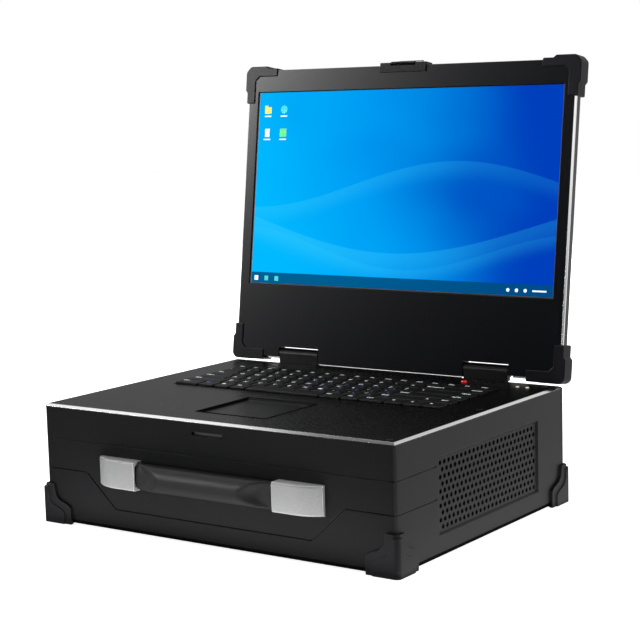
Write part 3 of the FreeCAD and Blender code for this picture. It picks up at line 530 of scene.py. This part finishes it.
# the caps' upper faces and eased rims take a lighter finish, a painted highlight
for nodeName in ("handle_cap_right", "handle_cap_left"):
    edgeValues = eased[nodeName].data.attributes["edge"].data
    litRim = {index for index, item in enumerate(edgeValues) if item.value > 0.5}
    nextFinish(eased[nodeName], "capPolish",
               lambda polygon: polygon.normal.z > turned["capLitTop"] or polygon.index in litRim)
# the bumpers' sideways faces take a darker rubber, painted shade
for nodeName in easing:
    if nodeName.startswith("lid_bumper"):
        nextFinish(eased[nodeName], "bumperSide",
                   lambda polygon: abs(polygon.normal.x) > turned["bumperSide"])
# the corner posts' slanted faces take a lighter coat, a painted highlight on the rounded corner
nextFinish(eased["corner_posts"], "postCoat",
           lambda polygon: min(abs(polygon.normal.x), abs(polygon.normal.y)) > turned["postSlant"])

# the lower grooves of the front are black inside, painted shadow, and the walls of the right slant take a
# lighter coat, a painted highlight, in millimetres
groove = {"least": 0.1, "most": 0.95, "low": 8.0, "high": 54.0, "right": 100.0}
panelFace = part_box("front_panel")[0][1]


def inGroove(polygon):
    depth = (polygon.center.y - panelFace) / mm
    height = polygon.center.z / mm
    return groove["least"] < depth < groove["most"] and groove["low"] < height < groove["high"]


nextFinish(eased["front_panel"], "gapBlack", inGroove)
nextFinish(eased["front_panel"], "postCoat",
           lambda polygon: inGroove(polygon) and polygon.center.x / mm > groove["right"])
print("eased", len(easing), "solids")

# solids that keep their own mesh; the grip's is replaced below
plainFinish = {
    "vent_grille_right": "caseCoat", "vent_grille_left": "caseCoat", "lid_back_shell": "lidCoat",
    "display_panel": "innerBlack", "display_board": "boardGreen", "hinge_leaf_right": "bareSteel",
    "hinge_leaf_left": "bareSteel", "latch_pin": "bareSteel", "keyboard_plate": "innerBlack",
    "touchpad_board": "boardGreen", "power_switch": "innerBlack", "indicator_lamps": "lampLens",
    "motherboard": "boardGreen", "heat_sink": "finAluminium", "memory_modules": "boardGreen",
    "power_supply": "moduleGrey", "storage_drive": "moduleGrey", "fan_housing_right": "innerBlack",
    "fan_housing_left": "innerBlack", "fan_rotor_right": "innerBlack", "fan_rotor_left": "innerBlack",
    "expansion_covers": "bareSteel", "port_covers": "cornerRubber", "case_screws": "screwBlack",
    "power_button": "redLens", "handle_strap": "innerBlack", "handle_grip": "gripRubber",
}
for nodeName, finish in plainFinish.items():
    mesh = nodes[nodeName].data
    mesh.materials.clear()
    mesh.materials.append(finishes[finish])


# carrying grip: a full rounded bar with a thumb scoop towards each flat end
grip = {"stations": 97, "steps": 28, "flat": 4.4 * mm, "square": 0.84, "scoopMiddle": 56.0 * mm,
        "scoopEdge": 19.0 * mm, "blend": 22.0 * mm, "smoothAngle": 50}


def softStep(value):
    value = min(max(value, 0), 1)
    return value * value * (3 - 2 * value)


def makeGrip():
    low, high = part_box("handle_grip")
    back = high[1]
    full = back - low[1]
    middleZ = (low[2] + high[2]) / 2
    halfZ = (high[2] - low[2]) / 2
    bm = bmesh.new()
    rings = []
    for station in range(grip["stations"]):
        x = low[0] + (high[0] - low[0]) * station / (grip["stations"] - 1)
        ring = []
        for step in range(grip["steps"] + 1):
            angle = math.pi * (step / grip["steps"] - 0.5)
            rise = math.copysign(abs(math.sin(angle)) ** grip["square"], angle)
            turn = grip["scoopMiddle"] + grip["scoopEdge"] * rise * rise
            share = softStep((turn - abs(x)) / grip["blend"] + 0.5)
            depth = grip["flat"] + (full - grip["flat"]) * share
            out = abs(math.cos(angle)) ** grip["square"]
            ring.append(bm.verts.new((x, back - depth * out, middleZ + halfZ * rise)))
        rings.append(ring)
    for first, second in zip(rings, rings[1:]):
        for step in range(grip["steps"]):
            bm.faces.new((first[step], second[step], second[step + 1], first[step + 1]))
        bm.faces.new((first[-1], second[-1], second[0], first[0]))
    bm.faces.new(rings[0])
    bm.faces.new(rings[-1][::-1])
    bmesh.ops.recalc_face_normals(bm, faces=bm.faces)
    piece = addPiece("handle.grip.rubber", bm, ["gripRubber"], "handle_grip",
                     grip["smoothAngle"])
    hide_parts("handle_grip")


makeGrip()
print("grip made")


# a low black strip round the touchpad's hollow, painted shade along its edges, in millimetres
padShadeLine = {"half": 40.6, "front": -140.21, "back": -59.21, "wide": 0.9, "tall": 0.4, "deck": 119.0}


def makePadShadeLine():
    half = padShadeLine["half"]
    wide = padShadeLine["wide"]
    outer = half + wide
    front = padShadeLine["front"]
    back = padShadeLine["back"]
    foot = padShadeLine["deck"]
    top = foot + padShadeLine["tall"]
    bm = bmesh.new()
    for left, right, near, far in ((-outer, outer, front - wide, front), (half, outer, front, back),
                                   (-outer, -half, front, back), (-outer, outer, back, back + wide)):
        addBox(bm, (left, near, foot), (right, far, top))
    addPiece("touchpad.shadeLine", bm, ["gapBlack"], "base")


# a light plate behind the latch slot, painted light in the slot's shade, in millimetres
litBacking = {"half": 26.0, "low": 103.0, "high": 109.5, "face": -172.0, "thick": 0.8}


def makeLitSlotBacking():
    bm = bmesh.new()
    addBox(bm, (-litBacking["half"], litBacking["face"], litBacking["low"]),
           (litBacking["half"], litBacking["face"] + litBacking["thick"], litBacking["high"]))
    addPiece("latch.keeper", bm, ["keeperGrey"], "base")


# a low sill on the deck's rear edge, between the hinges and clear of the lid's swing, that darkens the
# bright gap under the lid as painted shade, in millimetres
shadeSill = {"front": 131.0, "back": 133.2, "foot": 117.0, "top": 119.75, "clear": 1.0}


def makeShadeSill():
    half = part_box("hinge_block_right")[0][0] / mm - shadeSill["clear"]
    bm = bmesh.new()
    addBox(bm, (-half, shadeSill["front"], shadeSill["foot"]), (half, shadeSill["back"], shadeSill["top"]))
    addPiece("deck.sill", bm, ["deckCoat"], "base")


makePadShadeLine()
makeLitSlotBacking()
makeShadeSill()
print("deck trim made")


# display picture, on its own sheet just in front of the panel
screenCells = 8


def makeScreen():
    bm = bmesh.new()
    sheet = bmesh.ops.create_grid(bm, x_segments=screenCells, y_segments=screenCells, size=0.5)["verts"]
    uvLayer = bm.loops.layers.uv.new("screen")
    for face in bm.faces:
        for loop in face.loops:
            loop[uvLayer].uv = (loop.vert.co.x + 0.5, loop.vert.co.y + 0.5)
    width = 2 * lid["screenHalf"]
    height = lid["screenHigh"] - lid["screenLow"]
    middle = (lid["screenLow"] + lid["screenHigh"]) / 2
    bmesh.ops.scale(bm, vec=(width, height, 1), verts=sheet)
    bmesh.ops.translate(bm, vec=(0, middle, -lid["screenSunk"]), verts=sheet)
    bm.transform(lidMatrix)
    piece = addPiece("display.picture", bm, ["displayPicture"], "lid")
    piece.visible_glossy = False
    piece.visible_diffuse = False


# a painted highlight along the picture's left, right and lower edges where the window's edge catches light,
# brightest on the left, in millimetres
edgeSheen = {"wide": 1.1, "narrow": 0.77, "lift": 0.06}


def makeEdgeSheen():
    pale, dim = range(2)
    half = lid["screenHalf"] / mm
    low = lid["screenLow"] / mm
    high = lid["screenHigh"] / mm
    left = edgeSheen["wide"] - half
    right = half - edgeSheen["narrow"]
    bm = bmesh.new()
    flatBox(bm, -half, low, left, high, pale)
    flatBox(bm, right, low, half, high, dim)
    flatBox(bm, left, low, right, low + edgeSheen["wide"], dim)
    bm.transform(lidMatrix @ Matrix.Translation((0, 0, -lid["screenSunk"] + edgeSheen["lift"] * mm)))
    addPiece("display.gasket", bm, ["gasketPale", "gasketDim"], "lid")


# small plain signs on the picture: places in millimetres from the picture's lower left corner
signs = {"lift": 0.05, "size": 9.0, "first": (13.0, 196.0), "pitch": (22.0, 26.0), "tabTall": 1.8,
         "tabGap": 0.5, "sheetInset": 1.4, "labelWide": 9.0, "labelTall": 1.3, "labelDrop": 3.6}
stripSigns = {"marks": (8.0, 22.0, 36.0), "markHalf": 2.6, "markLow": 4.0, "markHigh": 9.2,
              "dots": (330.0, 340.0, 350.0), "dotMiddle": 6.6, "dotRadius": 1.9,
              "bar": (358.0, 5.8, 374.0, 7.4)}


def makeSigns():
    yellow, green, pale, teal = range(4)
    half = signs["size"] / 2
    labelHalf = signs["labelWide"] / 2
    bm = bmesh.new()
    for column in range(2):
        for row in range(2):
            x = signs["first"][0] + column * signs["pitch"][0]
            y = signs["first"][1] - row * signs["pitch"][1]
            low = y - half
            high = y + half
            if (column, row) == (0, 0):
                flatBox(bm, x - half, low, x + half, high - signs["tabTall"], yellow)
                flatBox(bm, x - half, high - signs["tabTall"], x - signs["tabGap"], high, yellow)
            elif (column, row) == (0, 1):
                flatBox(bm, x - half + signs["sheetInset"], low, x + half - signs["sheetInset"], high, pale)
            elif (column, row) == (1, 0):
                flatDisc(bm, x, y, half, teal)
            else:
                flatBox(bm, x - half, low, x + half, high, green)
            foot = low - signs["labelDrop"]
            flatBox(bm, x - labelHalf, foot, x + labelHalf, foot + signs["labelTall"], pale)
    wide = stripSigns["markHalf"]
    for x, tint in zip(stripSigns["marks"], (pale, teal, teal)):
        flatBox(bm, x - wide, stripSigns["markLow"], x + wide, stripSigns["markHigh"], tint)
    for x in stripSigns["dots"]:
        flatDisc(bm, x, stripSigns["dotMiddle"], stripSigns["dotRadius"], pale)
    flatBox(bm, *stripSigns["bar"], pale)
    corner = (-lid["screenHalf"], lid["screenLow"], -lid["screenSunk"] + signs["lift"] * mm)
    bm.transform(lidMatrix @ Matrix.Translation(corner))
    addPiece("display.signs", bm, ["signYellow", "signGreen", "signPale", "signTeal"], "lid")


makeScreen()
makeEdgeSheen()
makeSigns()
print("display drawn")

# key legends: for each row, left to right, the keys' widths in key units and their words
keyUnit = 18.95 * mm
keyLeft = -162.0 * mm
functionWords = ["F%d" % number for number in range(1, 13)]
legends = {
    "key_row_bottom": ([1.6, 1.08, 1.08, 1.08, 4.8, 1.35, 1.15, 1.5, 1.12, 1.12, 1.12],
                       ["Ctrl", "Fn", "dot", "Alt", "", "Alt", "bars", "Ctrl", "left", "down", "right"]),
    "key_row_shift": ([2.4] + [1.0] * 10 + [2.6, 1.0, 1.0],
                      ["Shift", *"ZXCVBNM,./", "Shift", "up", "End"]),
    "key_row_home": ([1.9] + [1.0] * 11 + [3.1, 1.0], ["Caps", *"ASDFGHJKL;'", "Enter", "PgDn"]),
    "key_row_letters": ([1.6] + [1.0] * 12 + [2.4, 1.0], ["Tab", *"QWERTYUIOP[]", "slash", "PgUp"]),
    "key_row_numbers": ([1.3] + [1.0] * 12 + [2.7, 1.0], ["`", *"1234567890-=", "Backspace", "Home"]),
    "key_row_function": ([1.0] * 17, ["Esc", *functionWords, "Prt", "Pau", "Ins", "Del"]),
}
legendStyle = {"letter": 6.3 * mm, "word": 4.7 * mm, "second": 3.6 * mm, "bold": 0.13 * mm,
               "lift": 0.04 * mm, "insetX": 2.8 * mm, "insetY": 7.2 * mm, "letterDrop": 0.6 * mm,
               "signX": 3.0 * mm, "signY": 1.2 * mm, "arrow": 2.0 * mm, "dot": 2.2 * mm, "dotCorners": 16,
               "barLong": 4.6 * mm, "barThick": 0.7 * mm, "barPitch": 1.4 * mm, "secondX": 7.2 * mm,
               "secondY": 5.4 * mm, "curveSteps": 2}
arrowTurn = {"up": 0, "left": 90, "down": 180, "right": 270}
# keys that carry a small blue figure as well, by their place in the row
secondRows = ("key_row_home", "key_row_letters", "key_row_shift")
secondKeys = range(6, 12)
white, blue = range(2)  # a legend's place in the piece's list of finishes
glyphCache = {}


def glyph(text, size):
    key = (text, size)
    if key not in glyphCache:
        curve = bpy.data.curves.new("glyph", "FONT")
        curve.body = text
        curve.size = size
        curve.resolution_u = legendStyle["curveSteps"]
        curve.offset = legendStyle["bold"]
        holder = bpy.data.objects.new("glyph", curve)
        scene.collection.objects.link(holder)
        view = bpy.context.evaluated_depsgraph_get()
        glyphCache[key] = bpy.data.meshes.new_from_object(holder.evaluated_get(view))
        bpy.data.objects.remove(holder)
        bpy.data.curves.remove(curve)
    return glyphCache[key]


def addText(bm, text, size, place, slotIndex):
    mesh = glyph(text, size).copy()
    mesh.transform(Matrix.Translation(place))
    mesh.polygons.foreach_set("material_index", [slotIndex] * len(mesh.polygons))
    bm.from_mesh(mesh)
    bpy.data.meshes.remove(mesh)


# a disc, or with three corners an arrow head turned to its side
def addSpot(bm, radius, place, corners, turn=0):
    made = bmesh.ops.create_circle(bm, cap_ends=True, segments=corners, radius=radius)["verts"]
    bmesh.ops.rotate(bm, cent=(0, 0, 0), matrix=Matrix.Rotation(math.radians(turn), 3, "Z"), verts=made)
    bmesh.ops.translate(bm, vec=place, verts=made)


def addBars(bm, x, y, z):
    for step in (-1, 0, 1):
        made = bmesh.ops.create_grid(bm, x_segments=1, y_segments=1, size=0.5)["verts"]
        bmesh.ops.scale(bm, vec=(legendStyle["barLong"], legendStyle["barThick"], 1), verts=made)
        bmesh.ops.translate(bm, vec=(x, y + step * legendStyle["barPitch"], z), verts=made)


def addLegend(bm, word, x, y, z):
    middle = (x + legendStyle["signX"], y + legendStyle["signY"], z)
    if word in arrowTurn:
        addSpot(bm, legendStyle["arrow"], middle, 3, arrowTurn[word])
    elif word == "dot":
        addSpot(bm, legendStyle["dot"], middle, legendStyle["dotCorners"])
    elif word == "bars":
        addBars(bm, *middle)
    elif word == "slash":
        addText(bm, "\\", legendStyle["letter"], (x, y, z), white)
    elif len(word) == 1:
        addText(bm, word, legendStyle["letter"], (x, y - legendStyle["letterDrop"], z), white)
    elif word:
        addText(bm, word, legendStyle["word"], (x, y, z), blue if word == "Fn" else white)


def makeLegends():
    for rowName, (widths, words) in legends.items():
        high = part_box(rowName)[1]
        y = high[1] - legendStyle["insetY"]
        z = high[2] + legendStyle["lift"]
        keyX = keyLeft
        bm = bmesh.new()
        for index, (units, word) in enumerate(zip(widths, words)):
            x = keyX + legendStyle["insetX"]
            addLegend(bm, word, x, y, z)
            if rowName in secondRows and index in secondKeys:
                place = (x + legendStyle["secondX"], y - legendStyle["secondY"], z)
                addText(bm, str(index - secondKeys[0] + 1), legendStyle["second"], place, blue)
            keyX += units * keyUnit
        pieceName = rowName.replace("key_row_", "legends.")
        addPiece(pieceName, bm, ["legendWhite", "legendBlue"], rowName)


makeLegends()
print("legends printed")


# stage: a pale lit floor
ground = {"half": 6.0, "patches": 3.0, "dark": 0.88, "light": 0.92, "rough": 0.9, "glow": 0.9}


def makeFloor():
    bm = bmesh.new()
    bmesh.ops.create_grid(bm, x_segments=1, y_segments=1, size=ground["half"])
    mesh = bpy.data.meshes.new("floor")
    bm.to_mesh(mesh)
    bm.free()
    floor = bpy.data.objects.new("floor", mesh)
    scene.collection.objects.link(floor)
    material, tree, shader = startMaterial("paleFloor")
    cloud = noise(tree, objectPlace(tree), ground["patches"])
    paper = mixColour(tree, cloud, grey(ground["dark"]), grey(ground["light"]))
    tree.links.new(paper, shader.inputs["Base Color"])
    setInputs(shader, Roughness=ground["rough"], Emission_Color=(1, 1, 1, 1),
              Emission_Strength=ground["glow"])
    mesh.materials.append(material)
    floor.visible_glossy = False


# the room is white behind the object and dim on the near side; spans are parts of the unit direction
room = {"front": (0.05, 0.06, 0.075), "backLeft": 0.3, "backRight": 0.95, "rightLow": 0.2, "right": 1.0,
        "topNear": 0.15, "top": 1.05, "fill": 0.22, "sideSpan": (-0.6, 0.6), "backSpan": (-0.4, 0.5),
        "rightRise": (0.03, 0.15), "rightSpan": (0.6, 0.85), "topEdge": (-0.606, -0.574),
        "topSpan": (0.4, 0.75)}
# a soft box at the front left, brightest away from the object, that sheens the lid's upper left
softbox = {"glow": 2.9, "side": 0.6, "wide": 0.64, "fadeAcross": 0.033, "rise": 0.21, "tall": 0.26,
           "fadeDown": 0.056, "upperSpan": (0.3, 0.38), "frontSpan": (-0.6, -0.5)}


def softboxGlow(tree, x, y, z):
    across = mathNode(tree, "ADD", mathNode(tree, "MAXIMUM", x, -softbox["wide"]), softbox["side"])
    up = mathNode(tree, "SUBTRACT", mathNode(tree, "MINIMUM", z, softbox["tall"]), softbox["rise"])
    fall = mathNode(tree, "SUBTRACT", mathNode(tree, "DIVIDE", up, softbox["fadeDown"]),
                    mathNode(tree, "DIVIDE", across, softbox["fadeAcross"]))
    upper = mapRange(tree, z, softbox["upperSpan"], 1.0, 0.0)
    front = mapRange(tree, y, softbox["frontSpan"], 1.0, 0.0)
    return product(tree, mathNode(tree, "EXPONENT", fall), softbox["glow"], upper, front)


def makeWorld():
    world = bpy.data.worlds.new("studio")
    scene.world = world
    world.use_nodes = True
    tree = world.node_tree
    background = tree.nodes["Background"]
    path = addNode(tree, "ShaderNodeLightPath")
    seen = mathNode(tree, "MAXIMUM", path.outputs["Is Camera Ray"], path.outputs["Is Transmission Ray"])
    toward = addNode(tree, "ShaderNodeSeparateXYZ")
    tree.links.new(addNode(tree, "ShaderNodeTexCoord").outputs["Generated"], toward.inputs[0])
    x, y, z = toward.outputs
    sides = mapRange(tree, x, room["sideSpan"], room["backLeft"], room["backRight"])
    glow = mixColour(tree, mapRange(tree, y, room["backSpan"]), room["front"], sides)
    right = mapRange(tree, z, room["rightRise"], room["rightLow"], room["right"])
    glow = mixColour(tree, mapRange(tree, x, room["rightSpan"]), glow, right)
    top = mapRange(tree, x, room["topEdge"], room["top"], room["topNear"])
    glow = mixColour(tree, mapRange(tree, z, room["topSpan"]), glow, top)
    glow = mixColour(tree, 1.0, glow, softboxGlow(tree, x, y, z), "ADD")
    glow = mixColour(tree, path.outputs["Is Glossy Ray"], grey(room["fill"]), glow)
    tree.links.new(mixColour(tree, seen, glow, grey(1.0)), background.inputs["Color"])
    background.inputs["Strength"].default_value = 1.0


# lamps aim at one point, but for two low ones that shine up from the floor
lampAim = Vector((0, 0, 0.18))
lamps = {
    "keyRight": {"place": (1.9, 0.2, 1.3), "size": (1.3, 1.3), "power": 12.0},
    "overhead": {"place": (-0.9, 0.6, 2.0), "size": (1.6, 1.6), "power": 18.0},
    "frontLeft": {"place": (-2.05, -1.4, 1.45), "size": (0.9, 0.9), "power": 4.0},
    "backFill": {"place": (-1.3, 2.2, 1.3), "size": (1.6, 1.6), "power": 45.0, "glossy": False},
    "bounceFront": {"place": (0.0, -0.224, 0.003), "size": (0.42, 0.05), "power": 0.6, "glossy": False},
    "bounceSide": {"place": (0.235, 0.0, 0.003), "size": (0.05, 0.38), "power": 0.32, "glossy": False},
}


def makeLights():
    for name, lamp in lamps.items():
        light = bpy.data.lights.new(name, "AREA")
        light.shape = "RECTANGLE"
        light.size, light.size_y = lamp["size"]
        light.energy = lamp["power"]
        holder = bpy.data.objects.new(name, light)
        holder.location = lamp["place"]
        holder.visible_camera = False
        holder.visible_glossy = lamp.get("glossy", True)
        if name.startswith("bounce"):
            holder.rotation_euler = (math.pi, 0, 0)
        else:
            holder.rotation_euler = (lampAim - holder.location).to_track_quat("-Z", "Y").to_euler()
        scene.collection.objects.link(holder)


# angles in degrees, lens and sensor in millimetres
camera = {"place": (0.95855, -1.34815, 0.41237), "yaw": 35.22, "pitch": 7.62, "roll": -1.57, "lens": 93.97,
          "sensor": 36.0}


def makeCamera():
    data = bpy.data.cameras.new("camera")
    data.sensor_width = camera["sensor"]
    data.sensor_fit = "HORIZONTAL"
    data.lens = camera["lens"]
    holder = bpy.data.objects.new("camera", data)
    yaw, pitch, roll = (math.radians(camera[angle]) for angle in ("yaw", "pitch", "roll"))
    holder.matrix_world = (Matrix.Translation(camera["place"]) @ Matrix.Rotation(yaw, 4, "Z")
                           @ Matrix.Rotation(math.pi / 2 - pitch, 4, "X") @ Matrix.Rotation(roll, 4, "Z"))
    scene.collection.objects.link(holder)
    scene.camera = holder


makeFloor()
makeWorld()
makeLights()
makeCamera()
scene.view_settings.view_transform = "Standard"
print("stage ready")
